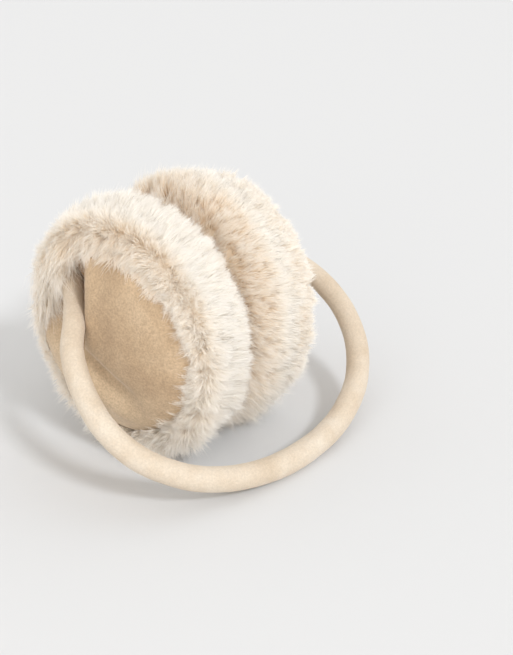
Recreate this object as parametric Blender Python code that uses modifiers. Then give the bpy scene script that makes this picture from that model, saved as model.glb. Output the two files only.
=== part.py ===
# Fur earmuffs lying on their side: two thick fur cups stand face to face on the floor, each with a
# domed suede disc on its outer face, and a padded suede headband loops forward from disc to disc.
import math
import random

import bmesh
import bpy
from mathutils import Vector

MM = 0.001
NAME = "fur_earmuffs"

# Driving sizes
GAP = 0.4 * MM
BAND_RADIUS = 5.4 * MM
LOOP_HALF_WIDTH = 76.9 * MM
LOOP_LENGTH = 126.0 * MM
LOOP_TILT = math.radians(40.9)
LOOP_FRONT = -66.3 * MM
DISC_RADIUS = 44.9 * MM
DISC_DOME = 14.0 * MM
CUP_MIDDLE = -7.0 * MM
DISC_SPACING = 35.2 * MM
DISC_BACK = -1.6 * MM
DISC_HEIGHT = 58.1 * MM
DISC_YAW = math.radians(-3.1)
DISC_PITCH = math.radians(-3.7)
CUP_WALL = 7.1 * MM
CUP_RADIUS = DISC_RADIUS + CUP_WALL
CUP_HOLLOW = 1.2 * MM
CUP_DEPTH = DISC_SPACING - CUP_HOLLOW
CUP_BACK = 5.5 * MM
CUP_DROP = 3.0 * MM
CUP_GAP = 0.35 * MM
FOOT_WIDTH = 13.0 * MM
FOOT_LENGTH = 24.0 * MM
FOOT_DEPTH = 10.0 * MM
FOOT_HEIGHT = 4.0 * MM
LOCK_LENGTH = 13.0 * MM
LOCK_SPREAD = 0.35
LOCK_RADIUS = 8.4 * MM
LOCK_RISE = 0.45
VALLEY_RADIUS = 7.5 * MM
VALLEY_SPREAD = 1.16
LOCK_SIDES = 5
ROUND_STEPS = 36

# Half of the headband's centreline, from the middle of the loop to its end
# across: share of LOOP_HALF_WIDTH, along: share of LOOP_LENGTH
# draw: how far the right half is drawn across by the cups, which lie CUP_MIDDLE off the loop's middle
LOOP_ROWS = (
    {"across": 0.000, "along": 0.000, "draw": 0.00},
    {"across": 0.262, "along": 0.013, "draw": 0.00},
    {"across": 0.515, "along": 0.056, "draw": 0.00},
    {"across": 0.746, "along": 0.135, "draw": 0.00},
    {"across": 0.922, "along": 0.256, "draw": 0.00},
    {"across": 0.998, "along": 0.400, "draw": 0.00},
    {"across": 0.974, "along": 0.545, "draw": 0.04},
    {"across": 0.901, "along": 0.665, "draw": 0.28},
    {"across": 0.780, "along": 0.757, "draw": 0.56},
    {"across": 0.703, "along": 0.818, "draw": 0.90},
    {"across": 0.643, "along": 0.880, "draw": 1.00},
    {"across": 0.607, "along": 0.940, "draw": 1.00},
    {"across": 0.598, "along": 1.000, "draw": 1.00},
)

# Half section of a disc, from the middle of its dome round the rim to the middle of its back
# out: share of DISC_RADIUS, up: share of DISC_DOME
DISC_ROWS = (
    {"out": 0.00, "up": 1.00},
    {"out": 0.28, "up": 0.98},
    {"out": 0.54, "up": 0.90},
    {"out": 0.74, "up": 0.76},
    {"out": 0.88, "up": 0.56},
    {"out": 0.97, "up": 0.30},
    {"out": 1.00, "up": 0.02},
    {"out": 0.98, "up": -0.28},
    {"out": 0.92, "up": -0.50},
    {"out": 0.00, "up": -0.50},
)

# Half section of the fur pad under its locks, from its outer face to its inner face
# out: share of CUP_RADIUS, up: share of CUP_DEPTH
CUP_ROWS = (
    {"out": 0.00, "up": -0.04},
    {"out": 0.84, "up": -0.02},
    {"out": 0.91, "up": 0.02},
    {"out": 0.97, "up": -0.08},
    {"out": 1.00, "up": -0.30},
    {"out": 0.99, "up": -0.60},
    {"out": 0.93, "up": -0.82},
    {"out": 0.80, "up": -0.95},
    {"out": 0.55, "up": -1.00},
    {"out": 0.00, "up": -1.00},
)

# Rows of fur locks round a pad: where they root, how many there are and which way they grow
# out: share of CUP_RADIUS, up: share of CUP_DEPTH, size: share of the lock sizes
# radial and axial: how far the row leans away from the cup's axis and along it
LOCK_ROWS = (
    {"out": 0.93, "up": 0.00, "count": 17, "radial": 0.55, "axial": 0.75, "size": 0.75},
    {"out": 0.98, "up": -0.12, "count": 15, "radial": 0.80, "axial": 0.15, "size": 0.90},
    {"out": 0.98, "up": -0.34, "count": 15, "radial": 0.75, "axial": -0.35, "size": 1.00},
    {"out": 0.96, "up": -0.57, "count": 15, "radial": 0.75, "axial": -0.55, "size": 0.95},
    {"out": 0.90, "up": -0.80, "count": 13, "radial": 0.85, "axial": -0.45, "size": 0.90},
)


def clear_scene():
    for item in list(bpy.data.objects):
        bpy.data.objects.remove(item, do_unlink=True)


def make_collection(name, hidden):
    group = bpy.data.collections.new(name)
    bpy.context.scene.collection.children.link(group)
    group.hide_render = hidden
    return group


def make_material(name, colour, roughness):
    material = bpy.data.materials.new(name)
    material.use_nodes = True
    shader = material.node_tree.nodes["Principled BSDF"]
    shader.inputs["Base Color"].default_value = (*colour, 1.0)
    shader.inputs["Roughness"].default_value = roughness
    shader.inputs["Metallic"].default_value = 0.0
    return material


def add_mesh(group, name, mesh, material=None):
    item = bpy.data.objects.new(name, mesh)
    group.objects.link(item)
    if material:
        mesh.materials.append(material)
    else:
        item.hide_render = True
        item.display_type = "WIRE"
    return item


def smooth(mesh):
    for face in mesh.polygons:
        face.use_smooth = True


def cup_axis(side):
    # Way out of a cup, along the axis of its disc
    level = math.cos(DISC_PITCH)
    return Vector((side * math.cos(DISC_YAW) * level, math.sin(DISC_YAW) * level, math.sin(DISC_PITCH)))


def disc_centre(side):
    return Vector((CUP_MIDDLE + side * DISC_SPACING, DISC_BACK, DISC_HEIGHT))


def turn_to_axis(item, side, centre):
    item.rotation_mode = "QUATERNION"
    item.rotation_quaternion = cup_axis(side).to_track_quat("Z", "Y")
    item.location = centre


def lathe(group, name, section, material=None):
    # Round solid about its own Z axis, from a half section of (out, up) points
    points = [(out, 0.0, up) for out, up in section]
    steps = [(i, i + 1) for i in range(len(points) - 1)]
    mesh = bpy.data.meshes.new(name)
    mesh.from_pydata(points, steps, [])
    item = add_mesh(group, name, mesh, material)
    turn = item.modifiers.new("turn", "SCREW")
    turn.axis = "Z"
    turn.angle = math.tau
    turn.steps = ROUND_STEPS
    turn.render_steps = ROUND_STEPS
    turn.use_merge_vertices = True
    turn.merge_threshold = 0.0001
    turn.use_normal_calculate = True
    turn.use_smooth_shade = True
    return item


def disc_section(grow=0.0):
    section = []
    for row in DISC_ROWS:
        out = row["out"] * (DISC_RADIUS + grow)
        up = row["up"] * DISC_DOME + math.copysign(grow, row["up"])
        section.append((out, up))
    return section


def cup_section():
    return [(row["out"] * CUP_RADIUS, row["up"] * CUP_DEPTH) for row in CUP_ROWS]


def band_tube(name, radius, sides, spread=1.0):
    # Closed tube along the headband's loop, as a mesh in the loop's own plane
    half = LOOP_HALF_WIDTH * spread
    left = [(-row["across"] * half, row["along"] * LOOP_LENGTH) for row in LOOP_ROWS[1:]]
    right = []
    for row in LOOP_ROWS:
        right.append((row["across"] * half + row["draw"] * 2.0 * CUP_MIDDLE, row["along"] * LOOP_LENGTH))
    points = list(reversed(left)) + right
    curve = bpy.data.curves.new(name, "CURVE")
    curve.dimensions = "3D"
    curve.resolution_u = 3
    curve.bevel_depth = radius
    curve.bevel_resolution = sides // 4 - 1
    curve.use_fill_caps = True
    spline = curve.splines.new("BEZIER")
    spline.bezier_points.add(len(points) - 1)
    for knot, (across, along) in zip(spline.bezier_points, points):
        knot.co = (across, along, 0.0)
        knot.handle_left_type = "AUTO"
        knot.handle_right_type = "AUTO"
    holder = bpy.data.objects.new(name, curve)
    bpy.context.scene.collection.objects.link(holder)
    bpy.context.view_layer.update()
    mesh = bpy.data.meshes.new_from_object(holder)
    bpy.data.objects.remove(holder, do_unlink=True)
    bpy.data.curves.remove(curve)
    body = bmesh.new()
    body.from_mesh(mesh)
    bmesh.ops.remove_doubles(body, verts=body.verts, dist=0.00002)
    bmesh.ops.recalc_face_normals(body, faces=body.faces)
    body.to_mesh(mesh)
    body.free()
    mesh.name = name
    return mesh


def place_band(item):
    item.location = (0.0, LOOP_FRONT, BAND_RADIUS)
    item.rotation_euler = (LOOP_TILT, 0.0, 0.0)


def box(group, name, low, high):
    body = bmesh.new()
    bmesh.ops.create_cube(body, size=1.0)
    for vert in body.verts:
        for axis in range(3):
            vert.co[axis] = high[axis] if vert.co[axis] > 0.0 else low[axis]
    mesh = bpy.data.meshes.new(name)
    body.to_mesh(mesh)
    body.free()
    return add_mesh(group, name, mesh)


def foot(group, name, side):
    # The part of a cup's fur that its weight presses flat on the floor
    body = bmesh.new()
    bmesh.ops.create_uvsphere(body, u_segments=20, v_segments=8, radius=1.0)
    centre = Vector((CUP_MIDDLE + side * DISC_SPACING * 0.5, DISC_BACK + CUP_BACK, FOOT_HEIGHT))
    for vert in body.verts:
        vert.co = centre + vert.co * Vector((FOOT_WIDTH, FOOT_LENGTH, FOOT_DEPTH))
    mesh = bpy.data.meshes.new(name)
    body.to_mesh(mesh)
    body.free()
    return add_mesh(group, name, mesh)


def add_lock(body, root, growth, bend, radius, length):
    # One tuft of fur: a bent tapering spike sunk into the pad
    side_way = growth.orthogonal().normalized()
    other_way = growth.cross(side_way)
    rings = []
    for reach, width in ((-0.30, 0.80), (0.10, 1.00), (0.60, 0.72)):
        middle = root + growth * (reach * length) + bend * (max(reach, 0.0) ** 2 * length)
        ring = []
        for step in range(LOCK_SIDES):
            angle = math.tau * step / LOCK_SIDES
            spread = side_way * math.cos(angle) + other_way * math.sin(angle)
            ring.append(body.verts.new(middle + spread * (width * radius)))
        rings.append(ring)
    tip = body.verts.new(root + growth * length + bend * length)
    body.faces.new(list(reversed(rings[0])))
    for lower, upper in zip(rings, rings[1:]):
        for step in range(LOCK_SIDES):
            after = (step + 1) % LOCK_SIDES
            body.faces.new((lower[step], lower[after], upper[after], upper[step]))
    for step in range(LOCK_SIDES):
        body.faces.new((rings[-1][step], rings[-1][(step + 1) % LOCK_SIDES], tip))


def locks(group, name, side, centre):
    # All tufts of one cup, longer at the back than at the front
    shake = random.Random(11 + side)
    axis = cup_axis(side)
    top_way = (Vector((0.0, 0.0, 1.0)) - axis * axis.z).normalized()
    back_way = top_way.cross(axis) * side
    body = bmesh.new()
    for number, row in enumerate(LOCK_ROWS):
        for step in range(row["count"]):
            angle = math.tau * (step + 0.5 * (number % 2) + shake.uniform(-0.15, 0.15)) / row["count"]
            radial = top_way * math.cos(angle) + back_way * math.sin(angle)
            around = axis.cross(radial)
            root = centre + radial * (row["out"] * CUP_RADIUS) + axis * (row["up"] * CUP_DEPTH)
            if root.z < LOCK_RISE * LOCK_LENGTH:
                continue
            growth = radial * row["radial"] + axis * row["axial"] + around * shake.uniform(-0.25, 0.25)
            bend = around * shake.uniform(-0.25, 0.25) - Vector((0.0, 0.0, 0.15))
            stretch = 1.0 + LOCK_SPREAD * radial.dot(back_way) + shake.uniform(-0.12, 0.12)
            add_lock(body, root, growth.normalized(), bend, LOCK_RADIUS * row["size"],
                     LOCK_LENGTH * row["size"] * stretch)
    mesh = bpy.data.meshes.new(name)
    body.to_mesh(mesh)
    body.free()
    smooth(mesh)
    return add_mesh(group, name, mesh)


def combine(item, cutter, operation, crossing=False):
    step = item.modifiers.new(f"{operation.lower()}_{cutter.name}", "BOOLEAN")
    step.object = cutter
    step.operation = operation
    step.solver = "EXACT"
    step.use_self = crossing


clear_scene()
parts = make_collection(NAME, False)
cutters = make_collection("cutters", True)
fur = make_material("cream_fur", (0.76, 0.64, 0.49), 0.95)
suede = make_material("tan_suede", (0.56, 0.42, 0.28), 0.90)
band_suede = make_material("beige_suede", (0.70, 0.56, 0.40), 0.88)

band_mesh = band_tube("headband", BAND_RADIUS, 12)
smooth(band_mesh)
headband = add_mesh(parts, "headband", band_mesh, band_suede)
place_band(headband)
band_room = add_mesh(cutters, "band_room", band_tube("band_room", BAND_RADIUS + GAP, 16))
place_band(band_room)
valley = add_mesh(cutters, "valley", band_tube("valley", VALLEY_RADIUS, 16, VALLEY_SPREAD))
place_band(valley)

floor = box(cutters, "floor", Vector((-0.2, -0.2, -0.1)), Vector((0.2, 0.2, 0.0)))
for side, word in ((-1, "left"), (1, "right")):
    middle = disc_centre(side)
    pad_middle = middle + Vector((0.0, CUP_BACK, -CUP_DROP))
    disc = lathe(parts, f"suede_disc_{word}", disc_section(), suede)
    turn_to_axis(disc, side, middle)
    combine(disc, band_room, "DIFFERENCE")
    combine(disc, valley, "DIFFERENCE")

    disc_room = lathe(cutters, f"disc_room_{word}", disc_section(GAP))
    turn_to_axis(disc_room, side, middle)
    tufts = locks(cutters, f"locks_{word}", side, pad_middle)
    pressed = foot(cutters, f"foot_{word}", side)
    beyond = sorted((CUP_MIDDLE + side * CUP_GAP * 0.5, CUP_MIDDLE - side * 0.05))
    other_half = box(cutters, f"other_half_{word}", Vector((beyond[0], -0.2, -0.1)), Vector((beyond[1], 0.2, 0.2)))
    cup = lathe(parts, f"fur_cup_{word}", cup_section(), fur)
    turn_to_axis(cup, side, pad_middle)
    combine(cup, pressed, "UNION")
    combine(cup, tufts, "UNION", crossing=True)
    combine(cup, disc_room, "DIFFERENCE")
    combine(cup, band_room, "DIFFERENCE")
    combine(cup, floor, "DIFFERENCE")
    combine(cup, other_half, "DIFFERENCE")
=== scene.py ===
import math
from types import SimpleNamespace

import bpy
import numpy as np
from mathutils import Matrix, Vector


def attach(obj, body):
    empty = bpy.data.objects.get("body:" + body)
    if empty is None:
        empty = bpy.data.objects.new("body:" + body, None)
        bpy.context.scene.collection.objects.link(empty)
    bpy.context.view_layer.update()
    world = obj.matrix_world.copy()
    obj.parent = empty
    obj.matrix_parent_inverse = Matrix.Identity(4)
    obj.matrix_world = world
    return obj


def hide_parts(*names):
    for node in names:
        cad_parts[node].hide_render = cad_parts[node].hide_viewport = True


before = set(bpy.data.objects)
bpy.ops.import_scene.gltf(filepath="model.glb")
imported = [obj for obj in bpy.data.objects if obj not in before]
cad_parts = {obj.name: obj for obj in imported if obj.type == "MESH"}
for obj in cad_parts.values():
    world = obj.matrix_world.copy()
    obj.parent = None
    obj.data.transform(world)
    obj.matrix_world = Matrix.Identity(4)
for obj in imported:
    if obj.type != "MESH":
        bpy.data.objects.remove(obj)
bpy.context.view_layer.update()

MM = 0.001

# Sizes shared with the solids, in mm
BAND_RADIUS = 5.4
LOOP_HALF_WIDTH = 76.9
LOOP_LENGTH = 126.0
LOOP_TILT = math.radians(40.9)
LOOP_FRONT = -66.3
DISC_RADIUS = 44.9
DISC_DOME = 14.0
CUP_MIDDLE = -7.0
DISC_SPACING = 35.2
DISC_BACK = -1.6
DISC_HEIGHT = 58.1
DISC_YAW = math.radians(-3.1)
DISC_PITCH = math.radians(-3.7)
# Half of the headband's centreline as shares of the loop's half width and length: across, along,
# and how far the right half is drawn across by the cups
LOOP_ROWS = np.array([
    (0.000, 0.000, 0.00), (0.262, 0.013, 0.00), (0.515, 0.056, 0.00), (0.746, 0.135, 0.00),
    (0.922, 0.256, 0.00), (0.998, 0.400, 0.00), (0.974, 0.545, 0.04), (0.901, 0.665, 0.28),
    (0.780, 0.757, 0.56), (0.703, 0.818, 0.90), (0.643, 0.880, 1.00), (0.607, 0.940, 1.00),
    (0.598, 1.000, 1.00)])

# Section of a cup's backing under the fur, in mm: out from the axis, up from the disc's rim plane
SKIN_ROWS = np.array([
    (45.4, -0.8), (46.0, 0.8), (46.9, 1.2), (47.6, 0.2), (48.4, -3.5), (49.2, -9.0), (49.6, -15.0),
    (48.8, -21.5), (46.2, -27.5), (42.0, -31.7), (36.0, -34.3), (27.0, -35.5), (16.0, -36.0)])
# How far a cup hangs from its disc, and over what length of the section it comes to that
CUP_SHIFT = np.array([0.0, 6.0, -2.4])
SHIFT_OVER = 16.0
# Mean radius of a cup, by which a spread in mm round it becomes one in angle
CUP_RADIUS = 47.0


def unit(v):
    return v / np.maximum(np.linalg.norm(v, axis=-1, keepdims=True), 1e-12)


def smooth_step(t):
    t = np.clip(t, 0, 1)
    return t * t * (3 - 2 * t)


def spline(rows, count):
    # Smooth curve through rows, with points evenly spaced along it
    rows = np.asarray(rows, float)
    pads = np.vstack([2 * rows[0] - rows[1], rows, 2 * rows[-1] - rows[-2]])
    fine = []
    for k in range(1, len(pads) - 2):
        t = np.linspace(0, 1, 24, endpoint=False)[:, None]
        p0, p1, p2, p3 = pads[k - 1], pads[k], pads[k + 1], pads[k + 2]
        fine.append(0.5 * (2 * p1 + (p2 - p0) * t + (2 * p0 - 5 * p1 + 4 * p2 - p3) * t**2
                           + (3 * p1 - p0 - 3 * p2 + p3) * t**3))
    fine = np.vstack(fine + [rows[-1:]])
    run = np.r_[0, np.cumsum(np.linalg.norm(np.diff(fine, axis=0), axis=1))]
    at = np.linspace(0, run[-1], count)
    return np.stack([np.interp(at, run, fine[:, k]) for k in range(rows.shape[1])], 1), run[-1]


def ring_faces(rings, around):
    # Quads between rings of points that are numbered ring by ring
    ring, spot = np.meshgrid(np.arange(rings - 1), np.arange(around), indexing="ij")
    here, after = ring * around, (ring + 1) * around
    beside = (spot + 1) % around
    return np.stack([here + spot, here + beside, after + beside, after + spot], -1).reshape(-1, 4)


def closed_faces(cup, rings, around):
    # Quads between a cup's rings, and a fan at each end to one of the two points that follow them
    quads = ring_faces(rings, around)
    first = np.arange(around)
    last = (rings - 1) * around + first
    top = np.stack([np.full(around, rings * around), np.roll(first, -1), first], -1)
    bottom = np.stack([np.full(around, rings * around + 1), last, np.roll(last, -1)], -1)
    turned = -1 if cup.side > 0 else 1
    return quads[:, ::turned], top[:, ::turned], bottom[:, ::turned]


def build_mesh(name, points, *face_sets, material):
    # One object from points in mm and arrays of faces
    mesh = bpy.data.meshes.new(name)
    mesh.vertices.add(len(points))
    mesh.vertices.foreach_set("co", (points * MM).astype(np.float32).ravel())
    corners = np.concatenate([faces.ravel() for faces in face_sets]).astype(np.int32)
    sizes = np.concatenate([np.full(len(faces), faces.shape[1]) for faces in face_sets])
    mesh.loops.add(len(corners))
    mesh.loops.foreach_set("vertex_index", corners)
    mesh.polygons.add(len(sizes))
    mesh.polygons.foreach_set("loop_start", np.r_[0, np.cumsum(sizes)[:-1]].astype(np.int32))
    mesh.update(calc_edges=True)
    mesh.polygons.foreach_set("use_smooth", np.full(len(sizes), True))
    mesh.materials.append(material)
    item = bpy.data.objects.new(name, mesh)
    bpy.context.scene.collection.objects.link(item)
    return item


def set_numbers(item, name, values):
    # One number for each point, which the materials read by name
    layer = item.data.attributes.new(name, "FLOAT", "POINT")
    layer.data.foreach_set("value", values.astype(np.float32).ravel())


def wave_noise(points, scale, seed, waves=14):
    # Smooth random field with features about scale mm across, roughly -1 to 1
    rng = np.random.default_rng(seed)
    ways = unit(rng.normal(size=(waves, points.shape[-1])))
    turns = ways * (math.tau / scale) * rng.uniform(0.6, 1.5, (waves, 1))
    return np.sin(points @ turns.T + rng.uniform(0, math.tau, waves)).sum(-1) / math.sqrt(waves)


class Cup:
    """One cup's own directions: out along its disc's axis, up and back in its disc's plane."""

    def __init__(self, side):
        level = math.cos(DISC_PITCH)
        across, along = side * math.cos(DISC_YAW) * level, math.sin(DISC_YAW) * level
        self.side = side
        self.axis = np.array([across, along, math.sin(DISC_PITCH)])
        self.up = unit(np.array([0, 0, 1.0]) - self.axis * self.axis[2])
        self.back = np.cross(self.up, self.axis) * side
        self.centre = np.array([CUP_MIDDLE + side * DISC_SPACING, DISC_BACK, DISC_HEIGHT])

    def radial(self, angle):
        # Angles run from up towards the back
        return np.cos(angle)[..., None] * self.up + np.sin(angle)[..., None] * self.back

    def place(self, out, up, angle, shift=0.0):
        # Points at a distance from the axis and a height over the disc's rim plane
        shift = np.asarray(shift, float)[..., None] * CUP_SHIFT
        return self.centre + shift + self.radial(angle) * out[..., None] + self.axis * up[..., None]

    def read(self, points):
        # Distance from the disc's axis and height over its rim plane
        q = points - self.centre
        up = q @ self.axis
        return np.linalg.norm(q - up[..., None] * self.axis, axis=-1), up


def band_path(count):
    # The headband's centreline, evenly spaced from the left end to the right one
    across, along, draw = LOOP_ROWS.T
    left = np.stack([-across * LOOP_HALF_WIDTH, along * LOOP_LENGTH], 1)
    right = np.stack([across * LOOP_HALF_WIDTH + 2 * draw * CUP_MIDDLE, along * LOOP_LENGTH], 1)
    flat, _ = spline(np.vstack([left[:0:-1], right]), count)
    way = np.array([0, math.cos(LOOP_TILT), math.sin(LOOP_TILT)])
    return np.array([0, LOOP_FRONT, BAND_RADIUS]) + flat[:, :1] * [1.0, 0, 0] + flat[:, 1:] * way


BAND_POINTS = 481
BAND = band_path(BAND_POINTS)
BAND_NORMAL = np.array([0, -math.sin(LOOP_TILT), math.cos(LOOP_TILT)])


def half_band(cup):
    # The headband's centreline over one cup's disc
    middle, reach = BAND_POINTS // 2, 62
    half = BAND[:middle + 1] if cup.side < 0 else BAND[middle:]
    return half[cup.read(half)[0] < reach]


def from_band(cup, points):
    # Distance to the headband's centreline and the way out from it
    near = half_band(cup)
    flat = points.reshape(-1, 3)
    gap = np.empty(len(flat))
    way = np.empty_like(flat)
    # In batches, to save memory
    batch = 20000
    for start in range(0, len(flat), batch):
        some = flat[start:start + batch]
        square = ((some[:, None] - near[None]) ** 2).sum(-1)
        best = square.argmin(1)
        gap[start:start + batch] = np.sqrt(square[np.arange(len(some)), best])
        way[start:start + batch] = some - near[best]
    return gap.reshape(points.shape[:-1]), unit(way).reshape(points.shape)


# Share of the light on a strand that passes through it
FUR_LIGHT_THROUGH = 0.55


def new_material(name):
    material = bpy.data.materials.new(name)
    material.use_nodes = True
    tree = material.node_tree
    return material, tree, tree.nodes["Principled BSDF"]


def node(tree, kind, **values):
    made = tree.nodes.new(kind)
    for key, value in values.items():
        setattr(made, key, value)
    return made


def ramp(tree, source, stops):
    # Colours by a number, from pairs of place and colour
    made = node(tree, "ShaderNodeValToRGB")
    while len(made.color_ramp.elements) < len(stops):
        made.color_ramp.elements.new(0.5)
    for element, (place, colour) in zip(made.color_ramp.elements, stops):
        element.position = place
        element.color = (*colour, 1)
    tree.links.new(source, made.inputs["Fac"])
    return made.outputs["Color"]


def noise(tree, scale, detail, roughness):
    # Clouds in the piece's own coordinates
    where = node(tree, "ShaderNodeTexCoord")
    made = node(tree, "ShaderNodeTexNoise")
    made.inputs["Scale"].default_value = scale
    made.inputs["Detail"].default_value = detail
    made.inputs["Roughness"].default_value = roughness
    tree.links.new(where.outputs["Object"], made.inputs["Vector"])
    return made.outputs["Fac"]


def multiply(tree, first, second):
    # Product of two colours
    made = node(tree, "ShaderNodeMix", data_type="RGBA", blend_type="MULTIPLY")
    made.inputs["Factor"].default_value = 1.0
    first_colour, second_colour, result = 6, 7, 2
    tree.links.new(first, made.inputs[first_colour])
    tree.links.new(second, made.inputs[second_colour])
    return made.outputs[result]


def with_painted_shade(tree, colour, darkest):
    # Darkens a colour with painted shade, where the piece's painted shade numbers say so
    painted_shade = node(tree, "ShaderNodeAttribute", attribute_name="painted_shade")
    return multiply(tree, colour, ramp(tree, painted_shade.outputs["Fac"], [(0.0, (1, 1, 1)), (1.0, darkest)]))


def bump(tree, height, strength, distance):
    made = node(tree, "ShaderNodeBump")
    made.inputs["Strength"].default_value = strength
    made.inputs["Distance"].default_value = distance
    tree.links.new(height, made.inputs["Height"])
    return made


def set_surface(shader, roughness, specular, sheen=0.0, sheen_roughness=0.5, sheen_tint=(1.0, 1.0, 1.0)):
    shader.inputs["Roughness"].default_value = roughness
    shader.inputs["Specular IOR Level"].default_value = specular
    shader.inputs["Sheen Weight"].default_value = sheen
    shader.inputs["Sheen Roughness"].default_value = sheen_roughness
    shader.inputs["Sheen Tint"].default_value = (*sheen_tint, 1)


def suede_material(name, low, middle, high, grain):
    # Brushed suede cloth: cloudy nap, fine fibre grain and soft sheen, darkened by painted shade where the
    # piece's numbers say so
    material, tree, shader = new_material(name)
    clouds = ramp(tree, noise(tree, 55, 4.0, 0.62), [(0.32, low), (0.52, middle), (0.72, high)])
    dark_fibre, light_fibre = (1 - grain,) * 3, (1 + grain * 0.6,) * 3
    fibres = ramp(tree, noise(tree, 1150, 2.0, 0.7), [(0.30, dark_fibre), (0.70, light_fibre)])
    colour = with_painted_shade(tree, multiply(tree, clouds, fibres), (0.58, 0.48, 0.39))
    tree.links.new(colour, shader.inputs["Base Color"])
    set_surface(shader, 0.93, 0.15, sheen=0.35, sheen_roughness=0.5, sheen_tint=(1.0, 0.93, 0.84))
    fine = bump(tree, noise(tree, 900, 3.0, 0.75), 0.35, 0.0003)
    broad = bump(tree, noise(tree, 160, 3.0, 0.6), 0.25, 0.0012)
    tree.links.new(fine.outputs["Normal"], broad.inputs["Normal"])
    tree.links.new(broad.outputs["Normal"], shader.inputs["Normal"])
    return material


def fur_material(name, deep, middle, tip):
    # Soft pile: the colour runs from tan roots to cream tips, and light passes through the strands
    material, tree, shader = new_material(name)
    depth = node(tree, "ShaderNodeAttribute", attribute_name="tone")
    colour = ramp(tree, depth.outputs["Fac"], [(0.0, deep), (0.45, middle), (1.0, tip)])
    tree.links.new(colour, shader.inputs["Base Color"])
    through = node(tree, "ShaderNodeBsdfTranslucent")
    tree.links.new(colour, through.inputs["Color"])
    both = node(tree, "ShaderNodeMixShader")
    both.inputs["Fac"].default_value = FUR_LIGHT_THROUGH
    tree.links.new(shader.outputs["BSDF"], both.inputs[1])
    tree.links.new(through.outputs["BSDF"], both.inputs[2])
    tree.links.new(both.outputs["Shader"], tree.nodes["Material Output"].inputs["Surface"])
    set_surface(shader, 0.75, 0.12, sheen=0.25, sheen_roughness=0.6, sheen_tint=(1.0, 0.95, 0.88))
    return material


def skin_material(name, low, high):
    # Backing under the pile, with painted shade where the two cups meet
    material, tree, shader = new_material(name)
    cloth = ramp(tree, noise(tree, 400, 3.0, 0.7), [(0.3, low), (0.7, high)])
    tree.links.new(with_painted_shade(tree, cloth, (0.60, 0.50, 0.40)), shader.inputs["Base Color"])
    set_surface(shader, 1.0, 0.05)
    return material


disc_suede = suede_material(
    "disc_suede", (0.481, 0.351, 0.227), (0.556, 0.416, 0.274), (0.626, 0.481, 0.329), grain=0.22)
band_suede = suede_material(
    "band_suede", (0.56, 0.455, 0.34), (0.62, 0.525, 0.415), (0.67, 0.59, 0.49), grain=0.10)
fur_colour = fur_material("cream_fur", (0.90, 0.78, 0.625), (0.975, 0.935, 0.875), (0.992, 0.98, 0.957))
skin_colour = skin_material("fur_backing", (0.95, 0.89, 0.80), (0.98, 0.94, 0.87))


def make_band():
    # Padded suede tube with slightly uneven stuffing and a fine seam along its underside
    around = 44
    way = unit(np.gradient(BAND, axis=0))
    inward = unit(np.cross(BAND_NORMAL, way))
    angle = np.arange(around) / around * math.tau
    ring = np.cos(angle)[None, :, None] * inward[:, None] + np.sin(angle)[None, :, None] * BAND_NORMAL
    run = np.r_[0, np.cumsum(np.linalg.norm(np.diff(BAND, axis=0), axis=1))]
    # Where each point is for the stuffing's unevenness: along the tube and round it
    along, turn = np.meshgrid(run, angle, indexing="ij")
    field = np.stack([along, np.cos(turn) * 9, np.sin(turn) * 9], -1)
    # From 0 at the middle of the headband to 1 at both ends
    ends = np.abs(run / run[-1] * 2 - 1)[:, None]
    full = np.interp(ends, [0, 0.35, 0.55, 0.75, 1], [1.03, 1.0, 0.96, 0.89, 0.88])
    uneven = 0.07 * wave_noise(field / [2.2, 1, 1], 16, 3)
    fine_uneven = 0.035 * wave_noise(field, 6, 4)
    radius = BAND_RADIUS * full + uneven + fine_uneven
    seam_at, seam_width, seam_depth, stitch = math.radians(262), 0.05, 0.30, 2.4
    from_seam = np.mod(angle - seam_at + math.pi, math.tau) - math.pi
    seam = np.exp(-(from_seam / seam_width) ** 2)
    radius = radius - seam_depth * seam[None] * (1 + 0.3 * np.sin(run[:, None] * stitch))
    radius = np.minimum(radius, BAND_RADIUS + 0.25)
    points = BAND[:, None] + ring * radius[..., None]
    points[..., 2] = np.maximum(points[..., 2], 0.05)
    flat = points.reshape(-1, 3)
    faces = ring_faces(BAND_POINTS, around)
    tip_length = 1.5
    tips = [BAND[0] - way[0] * tip_length, BAND[-1] + way[-1] * tip_length]
    caps = []
    for number, (end, order) in enumerate(((0, 1), (BAND_POINTS - 1, -1))):
        base = (end * around + np.arange(around))[::order]
        cap = np.stack([base, np.roll(base, -1), np.full(around, len(flat) + number)], -1)
        caps.append(cap[:, ::-1])
    item = build_mesh("headband_suede", np.vstack([flat, tips]), faces[:, ::-1], *caps, material=band_suede)
    # Painted shade at the sewn-in ends and their caps, where fur and padding shade the tube, most on the
    # side facing the padding
    inner_side = 0.5 + 0.5 * np.cos(angle)[None]
    painted_end_shade = 0.9 * smooth_step((ends - 0.79) / 0.09) * (0.35 + 0.65 * inner_side)
    set_numbers(item, "painted_shade", np.r_[painted_end_shade.ravel(), 1.0, 1.0])
    return item


# Crisp edge of a disc's padding: places up the disc and how far back the edge lies there, in mm
EDGE_UP = [-14, -4, 0, 5, 10, 15, 20, 25, 30, 34, 37, 41, 45]
EDGE_BACK = [11.5, 8.9, 6.4, 5.7, 4.9, 4.6, 4.2, 3.9, 4.2, 5.2, 6.2, 8.5, 11.0]
# The crease runs from the edge's lower end to the front: where it starts, how long and how low it runs
CREASE_BACK = 12.0
CREASE_LENGTH = 36.0
CREASE_TOP = -3.5
CREASE_DROP = 16.0


def face_places(out, angle):
    # Places on a disc's face, back and up from its middle, and how far behind the crisp edge they lie
    back, up = out * np.sin(angle), out * np.cos(angle)
    return back, up, back - np.interp(up, EDGE_UP, EDGE_BACK)


def over_crease(back, up):
    # How far along the crease a place is, from 0 to 1, and how far above it
    along = np.clip((CREASE_BACK - back) / CREASE_LENGTH, 0, 1)
    return along, up - (CREASE_TOP - CREASE_DROP * np.sin(along * 1.5))


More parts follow.
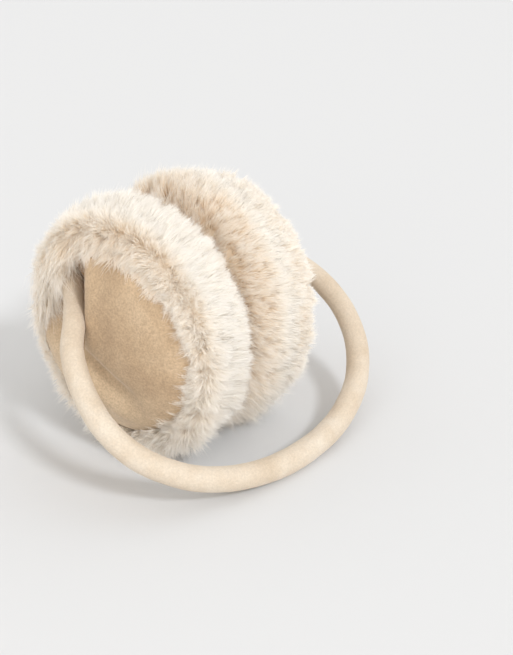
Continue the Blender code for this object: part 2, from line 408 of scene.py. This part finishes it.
def dome_height(out, angle):
    # Height of a disc's padded face over its rim plane. Where the headband is sewn in, the padding
    # drops to a low shelf behind a crisp edge, which runs on as a soft crease towards the front
    share = np.clip(out / DISC_RADIUS, 0, 1)
    dome = DISC_DOME * (1 - share ** 3.1) ** (1 / 1.9)
    back, up, behind = face_places(out, angle)
    deep = smooth_step((up + 12) / 17)
    shelf = np.minimum(dome, 1.3 + 1.6 * (1 - share ** 2))
    drop = smooth_step((behind + 0.6) / 6.0) * deep
    brim = 1.1 * np.exp(-((behind + 3.2) / 3.4) ** 2) * deep
    height = dome * (1 - drop) + shelf * drop + brim * (1 - share ** 4)
    # Soft pull from the edge's lower end towards the front, and the puffed roll under it
    along, above = over_crease(back, up)
    fade = np.exp(-((back + 3.0) / 16.0) ** 4) * (1 - 0.25 * along)
    wide = np.where(above > 0, 4.2, 6.5)
    pull = 3.6 * fade * np.exp(-(above / wide) ** 2)
    roll = 2.2 * fade * np.exp(-((above + 13.0) / 6.0) ** 2)
    uneven = 0.16 * wave_noise(np.stack([back, up], -1), 15, 8)
    return height + roll - pull + uneven * (1 - share ** 6)


def painted_shade_depth(out, angle):
    # Painted shade on the cloth: on the shelf behind the crisp edge, along the crease, at the rim and over
    # the lit upper half
    back, up, behind = face_places(out, angle)
    shaded = smooth_step((behind - 0.3) / 2.0) * (1 - 0.75 * smooth_step((behind - 7) / 8))
    shaded = shaded * smooth_step((up + 12) / 14)
    _, above = over_crease(back, up)
    wide = np.where(above > 0, 3.4, 5.0)
    crease = np.exp(-(above / wide) ** 2) * np.exp(-((back - 5.0) / 14.0) ** 2)
    rim = smooth_step((out / DISC_RADIUS - 0.96) / 0.04)
    upper = smooth_step((above + 3) / 14)
    return np.clip(0.95 * shaded + 0.34 * crease + 0.20 * rim + 0.33 * upper, 0, 1)


def groove(cup, points):
    # Presses a disc's face down round the headband, with a shoulder that hugs it
    half = half_band(cup)
    up = cup.read(half)[1]
    flat = points - ((points - cup.centre) @ cup.axis)[..., None] * cup.axis
    line = half - up[:, None] * cup.axis
    square = ((flat[:, None] - line[None]) ** 2).sum(-1)
    best = square.argmin(1)
    away = np.sqrt(square[np.arange(len(flat)), best])
    middle = up[best]
    room = BAND_RADIUS + 0.35
    under = middle - np.sqrt(np.maximum(room ** 2 - away ** 2, 0))
    wall = middle + 3.4 * (away - room)
    limit = np.where(away < room, under, wall)
    height = (points - cup.centre) @ cup.axis
    soft = 0.5
    pressed = -soft * np.logaddexp(-height / soft, -limit / soft)
    # Far from the headband the face stays as it is
    pressed = np.where(limit > height + 6, height, pressed)
    return points + (pressed - height)[:, None] * cup.axis


# A disc's rim and back under the face: share of the radius, and height over the rim plane in mm
RIM_ROWS = [(0.9985, -1.2), (0.994, -2.8), (0.975, -4.6), (0.93, -6.2), (0.5, -6.6)]
RIM_TOP = 0.4


def make_disc(cup, word):
    # Padded suede cover of one cup, closed at its back
    rings, around = 66, 180
    share = np.linspace(0.004, 1, rings) ** 0.85
    angle = np.arange(around) / around * math.tau
    out, turn = np.meshgrid(share * DISC_RADIUS, angle, indexing="ij")
    height = dome_height(out, turn)
    edge = np.clip((share - 0.985) / 0.015, 0, 1)[:, None]
    height = height * (1 - edge) + RIM_TOP * edge
    face = groove(cup, cup.place(out, height, turn).reshape(-1, 3))
    rim = [cup.place(np.full(around, DISC_RADIUS * part), np.full(around, up), angle)
           for part, up in RIM_ROWS]
    tips = [face[:around].mean(0), cup.centre + RIM_ROWS[-1][1] * cup.axis]
    faces = closed_faces(cup, rings + len(rim), around)
    item = build_mesh(f"disc_{word}", np.vstack([face, *rim, tips]), *faces, material=disc_suede)
    # Painted shade: this darkens the face by the numbers below, and the rim and back by half
    painted_shade = painted_shade_depth(out, turn).ravel()
    behind = 0.5
    set_numbers(item, "painted_shade", np.r_[painted_shade, np.full(len(rim) * around, behind), painted_shade[:around].mean(), behind])
    return item


SKIN_STEPS = 400
SKIN, SKIN_RUN = spline(SKIN_ROWS, SKIN_STEPS)
SKIN_AT = np.linspace(0, SKIN_RUN, SKIN_STEPS)
SKIN_WAY = unit(np.gradient(SKIN, axis=0))


def skin_at(run):
    # Place, outward way and way along the section, at a distance along it
    place = np.stack([np.interp(run, SKIN_AT, SKIN[:, k]) for k in (0, 1)], -1)
    way = unit(np.stack([np.interp(run, SKIN_AT, SKIN_WAY[:, k]) for k in (0, 1)], -1))
    return place, np.stack([-way[..., 1], way[..., 0]], -1), way


def shift_at(run):
    # Share of the cup's shift that a place along the section has
    return np.clip(run / SHIFT_OVER, 0, 1) ** 1.5


def press(cup, points, gap, low):
    # Keeps fur a gap off the plane between the cups, or past it if negative, and a height off the floor
    depth = cup.side * (CUP_MIDDLE - points[..., 0]) + gap
    soft = 2.5
    over = np.where(depth > -soft, depth + soft, 0)
    moved = -soft + soft * (1 - np.exp(-over / soft))
    points[..., 0] = np.where(depth > -soft, CUP_MIDDLE - cup.side * (moved - gap), points[..., 0])
    # What would sink into the floor spreads over it
    soft_low = 1.5
    sunk = np.maximum(low + soft_low - points[..., 2], 0)
    middle = (cup.centre + [-cup.side * DISC_SPACING / 2, CUP_SHIFT[1], 0])[:2]
    flat = points[..., :2] - middle
    points[..., :2] += unit(flat * [0.5, 1]) * (0.9 * sunk)[..., None]
    points[..., 2] = np.where(sunk > 0, low + soft_low * np.exp(-sunk / soft_low), points[..., 2])
    return points


# Tables round a cup: angles in degrees from up towards the back, and the value at each
# Heading of the pile at the rim, in degrees from straight out: 90 is along the axis, and more is
# over the disc
RIM_HEADING = ([-180, -120, -90, -60, -20, 0, 15, 30, 60, 87, 106, 120, 180],
               [95, 98, 102, 110, 120, 126, 138, 148, 154, 152, 120, 95, 95])
# Lengths of the pile in mm: at the very rim, near it and on the wall
FRINGE_LENGTH = ([-180, -150, -120, -90, -40, 0, 15, 30, 45, 60, 75, 90, 106, 120, 180],
                 [10, 10, 8, 6.5, 7.5, 11, 15, 20, 25, 26, 22, 14, 8, 7, 10])
NEAR_LENGTH = ([-180, -150, -120, -90, -45, 0, 45, 90, 120, 150, 180],
               [13, 13, 10, 7, 7, 7.5, 5.5, 4.5, 6.5, 10, 13])
WALL_LENGTH = ([-180, -150, -120, -90, -45, 0, 45, 90, 135, 180],
               [15, 16, 13.5, 9.5, 9.5, 11, 11.5, 13, 14, 15])
# How far the left cup's parting is shifted from the rim, and how much shorter the right cup's pile is
PARTING = ([-180, 0, 30, 45, 90, 105, 180], [0, 0, 1, 1.6, 1.6, 0, 0])
RIGHT_SHARE = ([-180, -140, -110, -20, 20, 180], [1, 1, 0.78, 0.78, 1, 1])
# Painted warm shade in the left cup's pile near the rim: how much deeper its tone is there
RIM_PAINTED_SHADE = ([-180, -110, -60, -10, 30, 60, 180], [0.03, 0.0, 0.10, 0.26, 0.20, 0.10, 0.10])


def by_angle(angle, table):
    at, values = table
    return np.interp(np.degrees(np.mod(angle + math.pi, math.tau) - math.pi), at, values)


def comb(cup, run, angle, slip):
    # Lie of the pile: root, outward way, way and length for places along the section and round the cup
    place, out, way = skin_at(run)
    inner = smooth_step((run - 32) / 12)
    near, wall = by_angle(angle, NEAR_LENGTH), by_angle(angle, WALL_LENGTH)
    length = near + (wall - near) * smooth_step((run - 5) / 18)
    length = length * (1 - 0.30 * inner)
    fan = run + slip * np.exp(-run / 14.0)
    at_rim = np.clip(1.15 - fan / 5.0, 0, 1) * np.clip(1.6 - run / 5.0, 0, 1)
    length = length + (by_angle(angle, FRINGE_LENGTH) - length) * at_rim
    # The pile fans from over the disc at the rim to a lean towards the right on the wall of both cups
    if cup.side < 0:
        lean = 1.45 - 0.55 * np.clip((run - 10) / 16, 0, 1) - 0.45 * inner
        turn = smooth_step((fan - 1 - 1.6 * by_angle(angle, PARTING)) / 12)
    else:
        lean = -1.0 + 0.25 * inner
        turn = smooth_step((fan - 1) / 9)
        length = length * by_angle(angle, RIGHT_SHARE)
        length = length * (1 - 0.30 * smooth_step((run - 33) / 6))
    leant = out + way * lean[..., None]
    first = by_angle(angle, RIM_HEADING)
    heading = np.degrees(np.arctan2(leant[..., 1], leant[..., 0]))
    heading = np.where(heading < -100, heading + 360, heading)
    heading = np.radians(first + (heading - first) * turn)
    flow = cup.radial(angle) * np.cos(heading)[..., None] + cup.axis * np.sin(heading)[..., None]
    normal = cup.radial(angle) * out[..., :1] + cup.axis * out[..., 1:]
    return cup.place(place[..., 0], place[..., 1], angle, shift_at(run)), normal, flow, length


def tuft_grid(pitch, rng):
    # Jittered places of tufts over the section, as distance along it and angle
    runs, angles = [], []
    for run in np.r_[0.3:10:pitch * 0.42, 10:SKIN_RUN - 1:pitch * 0.9]:
        ring = skin_at(np.array([run]))[0][0, 0] * math.tau
        count = max(int(ring / pitch), 3)
        runs.append(run + rng.normal(0, 0.25 * pitch, count))
        turn = np.arange(count) + rng.uniform(-0.35, 0.35, count) + rng.random()
        angles.append(turn / count * math.tau)
    runs = np.clip(np.concatenate(runs), 0.2, SKIN_RUN - 0.2)
    return runs, np.concatenate(angles)


def clear_of(cup, spots):
    # Lifts strands that would enter the disc or the headband
    gap_over_disc, gap_at_band, deepest, widest = 0.4, 0.5, -9, 52
    lifted = np.array([0, 1, 1])
    for _ in range(2):
        q = spots - cup.centre
        out, up = cup.read(spots)
        dome = dome_height(out, np.arctan2(q @ cup.back, q @ cup.up)) + gap_over_disc
        over = (out < DISC_RADIUS + 0.3) & (up > deepest)
        lift = np.maximum(dome + np.array([0.0, 0.5, 0.2]) - up, 0) * over * lifted
        spots = spots + lift[..., None] * cup.axis
        tip_back = (spots[:, 2] - cup.centre) @ cup.back
        near = (tip_back > -5) & (out[:, 2] < widest) & (up[:, 2] > deepest)
        gap, off = from_band(cup, spots[near])
        push = np.maximum(BAND_RADIUS + gap_at_band - gap, 0) * lifted
        spots[near] += off * push[..., None]
    return spots


def lay_locks(cup, rng):
    # Tufts over a cup and the locks inside each tuft, as arrays with one value for each lock
    run0, angle0 = tuft_grid(5.0, rng)
    tufts = len(run0)
    slip0 = rng.normal(0, 2.2, tufts)
    root0, _, flow0, length0 = comb(cup, run0, angle0, slip0)
    loose = np.interp(run0, [0, 4, 9, 14], [0.24, 0.38, 0.26, 0.12])[:, None]
    sway0 = rng.normal(0, 1, (tufts, 3)) * loose
    size0 = rng.uniform(0.88, 1.10, tufts)
    tone0 = rng.normal(0, 0.5, tufts)
    tip0 = root0 + unit(flow0 + sway0) * (length0 * size0)[:, None]
    per_tuft, spread = 12, 1.9
    count = tufts * per_tuft
    tuft = np.repeat(np.arange(tufts), per_tuft)
    run = np.clip(run0[tuft] + rng.normal(0, spread, count), 0.1, SKIN_RUN - 0.1)
    angle = angle0[tuft] + rng.normal(0, spread, count) / CUP_RADIUS
    slip = slip0[tuft] + rng.normal(0, 1.0, count)
    root, _, flow, length = comb(cup, run, angle, slip)
    sway = sway0[tuft] * 0.8 + rng.normal(0, 0.8, (count, 3)) * loose[tuft]
    uneven = np.interp(run, [0, 8, 16], [0.30, 0.22, 0.12])
    size = size0[tuft] * (1 + uneven * rng.uniform(-1, 1, count))
    tip = root + unit(flow + sway) * (length * size)[:, None]
    gather = np.interp(run, [0, 8, 16, 28, 38], [0.22, 0.16, 0.04, 0.04, 0.14])
    tip += (tip0[tuft] - tip) * (gather * rng.uniform(0.5, 1.4, count))[:, None]
    tone = tone0[tuft] + rng.normal(0, 0.4, count)
    return SimpleNamespace(run=run, angle=angle, slip=slip, sway=sway, size=size, tone=tone, root=root,
                           reach=tip - root)


def lay_strands(cup, rng, locks, total):
    # Strands inside the locks, as root, bend and tip: underfur, pile and a few long guard hairs
    lock = rng.integers(0, len(locks.run), total)
    run = np.clip(locks.run[lock] + rng.normal(0, 0.8, total), 0.0, SKIN_RUN)
    angle = locks.angle[lock] + rng.normal(0, 0.8, total) / CUP_RADIUS
    root, normal, flow, length = comb(cup, run, angle, locks.slip[lock])
    kind = rng.random(total)
    under, guard = kind < 0.28, kind > 0.95
    under_scale = rng.uniform(0.50, 0.82, total)
    guard_scale = rng.uniform(1.08, 1.25, total)
    pile_scale = rng.uniform(0.78, 1.06, total)
    scale = np.where(under, under_scale, np.where(guard, guard_scale, pile_scale))
    wander = np.where(under, 0.30, 0.13)[:, None]
    length = length * locks.size[lock] * scale
    tip = root + unit(flow + locks.sway[lock] + wander * rng.normal(size=(total, 3))) * length[:, None]
    # Strands follow their lock, and at the rim and the inner edge they also gather into it
    aim = root + locks.reach[lock] * scale[:, None]
    tip += (aim - tip) * 0.45
    pull = np.interp(run, [0, 8, 16, 28, 38], [0.30, 0.22, 0.06, 0.06, 0.18]) * rng.uniform(0.4, 1.5, total)
    tip += (locks.root[lock] + (aim - root) - tip) * (pull * ~guard)[:, None]
    sag, bend, sunk = 0.04, 0.12, 0.5
    tip[:, 2] -= sag * length
    middle = root + (tip - root) * 0.5 + normal * (bend * length)[:, None] + rng.normal(0, 0.15, (total, 3))
    past_middle, over_floor, lowest = 1.5, 0.15, 0.12
    spots = press(cup, np.stack([root - normal * sunk, middle, tip], 1), -past_middle, over_floor)
    by_disc = run < 22
    spots[by_disc] = clear_of(cup, spots[by_disc])
    spots[..., 2] = np.maximum(spots[..., 2], lowest)
    return SimpleNamespace(run=run, angle=angle, spots=spots, normal=normal, under=under, guard=guard,
                           tone=locks.tone[lock])


def ribbons(rng, pile):
    # Four points for each strand, widest at the bend, turned so that it faces roughly outward
    total = len(pile.run)
    spots = pile.spots
    facing = pile.normal + rng.normal(0, 0.35, (total, 3))
    across = unit(np.cross(unit(spots[:, 2] - spots[:, 0]), facing))
    broad = 1 + 0.35 * smooth_step((pile.run - 9) / 6) * (1 - smooth_step((pile.run - 26) / 6))
    width = np.where(pile.guard, 0.055, rng.uniform(0.075, 0.115, total) * broad)[:, None]
    sides = spots[:, 1] + across * width, spots[:, 1] - across * width
    return np.stack([spots[:, 0], *sides, spots[:, 2]], 1)


def strand_colours(cup, rng, pile):
    # Tone of each point, from tan roots to cream tips, and its place in a map of shade and growth
    total = len(pile.run)
    grow = np.array([0.0, 0.5, 0.5, 1.0])
    shade = np.clip(0.5 + 0.13 * pile.tone + rng.normal(0, 0.10, total) - 0.10 * pile.under, 0, 1)
    # Painted warm shade deepens the tone near the left cup's rim and on the right cup's inner side, between
    # the cups
    if cup.side < 0:
        painted_warm_shade = by_angle(pile.angle, RIM_PAINTED_SHADE) * (1 - smooth_step((pile.run - 4) / 10))
        painted_wall_light_end = 26
    else:
        painted_warm_shade = 0.24 * smooth_step((pile.run - 15) / 14)
        painted_wall_light_end = 16
    # Painted light: paler roots on the brightly lit wall, so the shade between the strands reads light
    # there
    painted_wall_light = 0.42 * smooth_step((pile.run - 9) / 5) * (1 - smooth_step((pile.run - painted_wall_light_end) / 8))
    tone = grow * (0.95 - painted_wall_light[:, None]) + painted_wall_light[:, None] + (shade[:, None] - 0.5) * 0.6 - painted_warm_shade[:, None]
    across = shade[:, None] * 0.97 + np.array([0.015, 0.03, 0.0, 0.015])
    along = np.broadcast_to(0.02 + 0.96 * grow, (total, 4))
    return np.clip(tone, 0, 1), np.stack([across, along], -1)


def make_strands(cup, word, total, seed):
    # Fur of one cup, in three joined meshes of fine bent strands: rim, side and inner edge
    rng = np.random.default_rng(seed)
    pile = lay_strands(cup, rng, lay_locks(cup, rng), total)
    points = ribbons(rng, pile)
    tone, patch = strand_colours(cup, rng, pile)
    order = np.argsort(pile.run, kind="stable")
    made = []
    for zone, chosen in zip(("rim", "side", "inner"), np.array_split(order, 3)):
        start = np.arange(len(chosen))[:, None, None] * 4
        faces = (start + np.array([[0, 1, 2], [2, 1, 3]])).reshape(-1, 3)
        item = build_mesh(f"fur_{zone}_{word}", points[chosen].reshape(-1, 3), faces, material=fur_colour)
        set_numbers(item, "tone", tone[chosen])
        layer = item.data.uv_layers.new(name="OFBake", do_init=False)
        corners = patch[chosen].reshape(-1, 2)[faces.ravel()]
        layer.uv.foreach_set("vector", corners.astype(np.float32).ravel())
        made.append(item)
    return made


# Dish in which the disc sits: out from the axis, up from the disc's rim plane
DISH_ROWS = [(30.0, -7.4), (45.1, -7.2), (45.1, -1.0)]


def make_backing(cup, word):
    # Closed backing under the fur, dished where the disc sits in it
    rows, around = 46, 84
    run = np.linspace(0, SKIN_RUN, rows)
    angle = np.arange(around) / around * math.tau
    place, _, _ = skin_at(run)
    out, turn = np.meshgrid(place[:, 0], angle, indexing="ij")
    up = np.repeat(place[:, 1:], around, 1)
    shift = np.repeat(shift_at(run)[:, None], around, 1)
    shell = cup.place(out, up, turn, shift).reshape(-1, 3)
    dish = [cup.place(np.full(around, far), np.full(around, high), angle) for far, high in DISH_ROWS]
    gap_to_middle, gap_to_floor = 0.4, 1.5
    points = press(cup, np.vstack([*dish, shell]), gap_to_middle, gap_to_floor)
    tips = [cup.centre + DISH_ROWS[0][1] * cup.axis, points[-around:].mean(0)]
    faces = closed_faces(cup, rows + len(dish), around)
    item = build_mesh(f"fur_backing_{word}", np.vstack([points, tips]), *faces, material=skin_colour)
    # Painted shade on the inner part of the section, between the two cups
    painted_shade = np.repeat(smooth_step((run - 24) / 8), around)
    set_numbers(item, "painted_shade", np.r_[np.zeros(len(dish) * around), painted_shade, 0, 1])
    return item


STRANDS = {"left": 222000, "right": 212000}
band = make_band()
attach(band, "root")
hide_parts("headband")
for side, word in ((-1, "left"), (1, "right")):
    cup = Cup(side)
    disc = make_disc(cup, word)
    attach(disc, "root")
    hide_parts(f"suede_disc_{word}")
    backing = make_backing(cup, word)
    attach(backing, "root")
    total = STRANDS[word] // 1
    for item in make_strands(cup, word, total, 20 + side):
        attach(item, "root")
        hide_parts(f"fur_cup_{word}")
    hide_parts(f"fur_cup_{word}")

# Floor, light and camera
CAMERA_TARGET = Vector((0.01606, -0.02782, 0.04882))
CAMERA_AZIMUTH = math.radians(-48.24)
CAMERA_ELEVATION = math.radians(25.89)
CAMERA_DISTANCE = 0.58007


def add_turned(name, data, way):
    # Light or camera that looks against the given way
    item = bpy.data.objects.new(name, data)
    item.rotation_mode = "QUATERNION"
    item.rotation_quaternion = way.to_track_quat("Z", "Y")
    bpy.context.scene.collection.objects.link(item)
    return item


def new_light(name, kind, energy, colour):
    light = bpy.data.lights.new(name, kind)
    light.energy = energy
    light.color = colour
    return light


floor_mesh = bpy.data.meshes.new("floor")
floor_mesh.from_pydata([(-4, -4, 0), (4, -4, 0), (4, 4, 0), (-4, 4, 0)], [], [(0, 1, 2, 3)])
floor = bpy.data.objects.new("floor", floor_mesh)
bpy.context.scene.collection.objects.link(floor)
floor_material, _, floor_shader = new_material("floor_white")
floor_shader.inputs["Base Color"].default_value = (0.66, 0.663, 0.668, 1)
set_surface(floor_shader, 0.9, 0.1)
floor_mesh.materials.append(floor_material)

bpy.context.scene.view_settings.view_transform = "Standard"
world = bpy.data.worlds.new("studio")
bpy.context.scene.world = world
world.use_nodes = True
sky = world.node_tree
facing = node(sky, "ShaderNodeTexCoord")
axes = node(sky, "ShaderNodeSeparateXYZ")
sky.links.new(facing.outputs["Generated"], axes.inputs["Vector"])
sky_colour = ramp(sky, axes.outputs["Z"], [(0.0, (1.0, 0.98, 0.95)), (1.0, (0.74, 0.73, 0.715))])
sky.links.new(sky_colour, sky.nodes["Background"].inputs["Color"])
sky.nodes["Background"].inputs["Strength"].default_value = 1.19

key_light = new_light("key", "SUN", 1.4, (1.0, 1.03, 1.07))
key_light.angle = math.radians(10.0)
add_turned("key", key_light, Vector((-0.24, -1.13, 1.0)))

fill_light = new_light("fill", "AREA", 5.8, (1.0, 0.96, 0.90))
fill_light.size = 1.2
fill = add_turned("fill", fill_light, Vector((-1.15, -0.75, 0.09)))
fill.location = (-1.15, -0.75, 0.14)

camera_data = bpy.data.cameras.new("camera")
camera_data.sensor_width = 36
camera_data.lens = 71.66
level = math.cos(CAMERA_ELEVATION)
to_camera = Vector((math.sin(CAMERA_AZIMUTH) * level, -math.cos(CAMERA_AZIMUTH) * level,
                    math.sin(CAMERA_ELEVATION)))
camera = add_turned("camera", camera_data, to_camera)
camera.location = CAMERA_TARGET + to_camera * CAMERA_DISTANCE
bpy.context.scene.camera = camera
